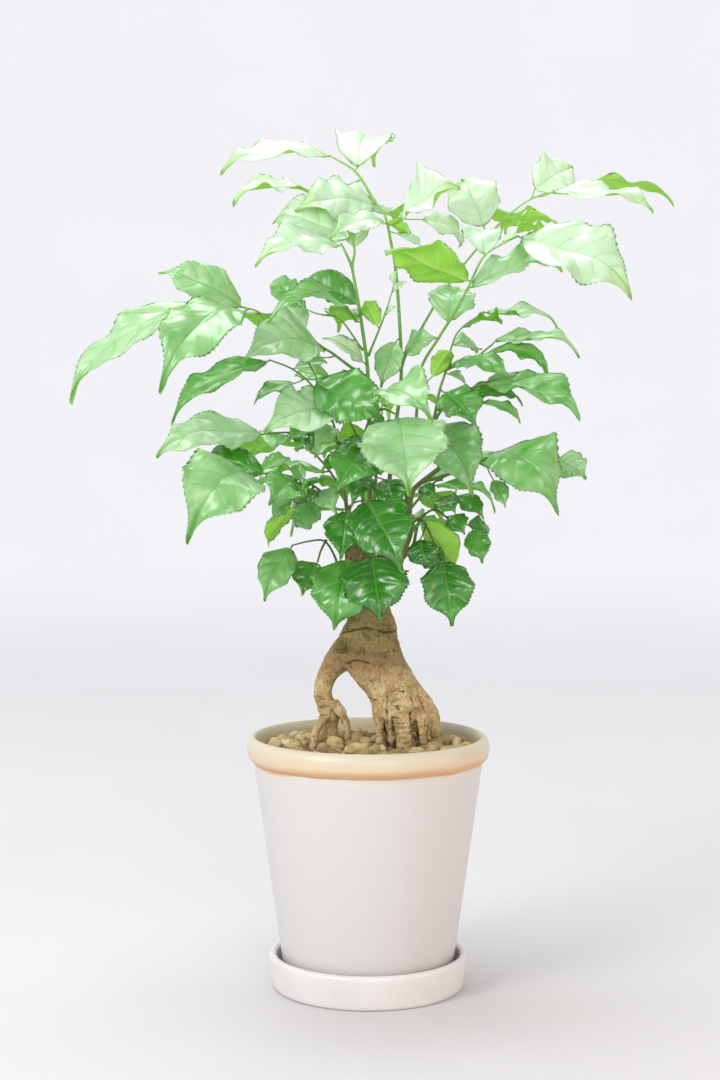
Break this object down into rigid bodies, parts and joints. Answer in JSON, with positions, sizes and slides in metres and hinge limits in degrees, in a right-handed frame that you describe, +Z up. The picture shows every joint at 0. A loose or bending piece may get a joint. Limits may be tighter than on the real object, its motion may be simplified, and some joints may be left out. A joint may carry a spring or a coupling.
{
  "type": "potted heteropanax",
  "caption": "Potted heteropanax house plant: leafy stems with toothed, drip-tipped leaves on a swollen forked trunk, in gravel in a white glazed pot on a saucer.",
  "frame": {"origin": "on the surface that the plant stands on, under the middle of the saucer", "axes": "+Z up along the pot's axis, -Y towards the viewer of the picture, +X to the viewer's right"},
  "size_m": [0.4449, 0.2992, 0.6389],
  "materials": {
    "glazed_ceramic": "satin white glaze on earthenware",
    "potting_soil": "dark crumbly earth",
    "gravel_stone": "dry tan pebbles",
    "bark": "tan corky bark",
    "leaf": "glossy leaf with sunk veins"
  },
  "bodies": {
    "root": {"saucer": "glazed_ceramic", "pot": "glazed_ceramic", "soil": "potting_soil", "gravel": "gravel_stone", "trunk": "bark", "stem_tall_left": "leaf", "stem_tall_middle": "leaf", "stem_tall_right": "leaf", "stem_right": "leaf", "stem_right_low": "leaf", "stem_right_hanging": "leaf", "stem_front": "leaf", "stem_front_low": "leaf", "stem_left": "leaf", "stem_left_low": "leaf", "stem_left_hanging": "leaf", "stem_back_left": "leaf", "stem_back_middle": "leaf", "stem_back_right": "leaf"}
  },
  "joints": []
}
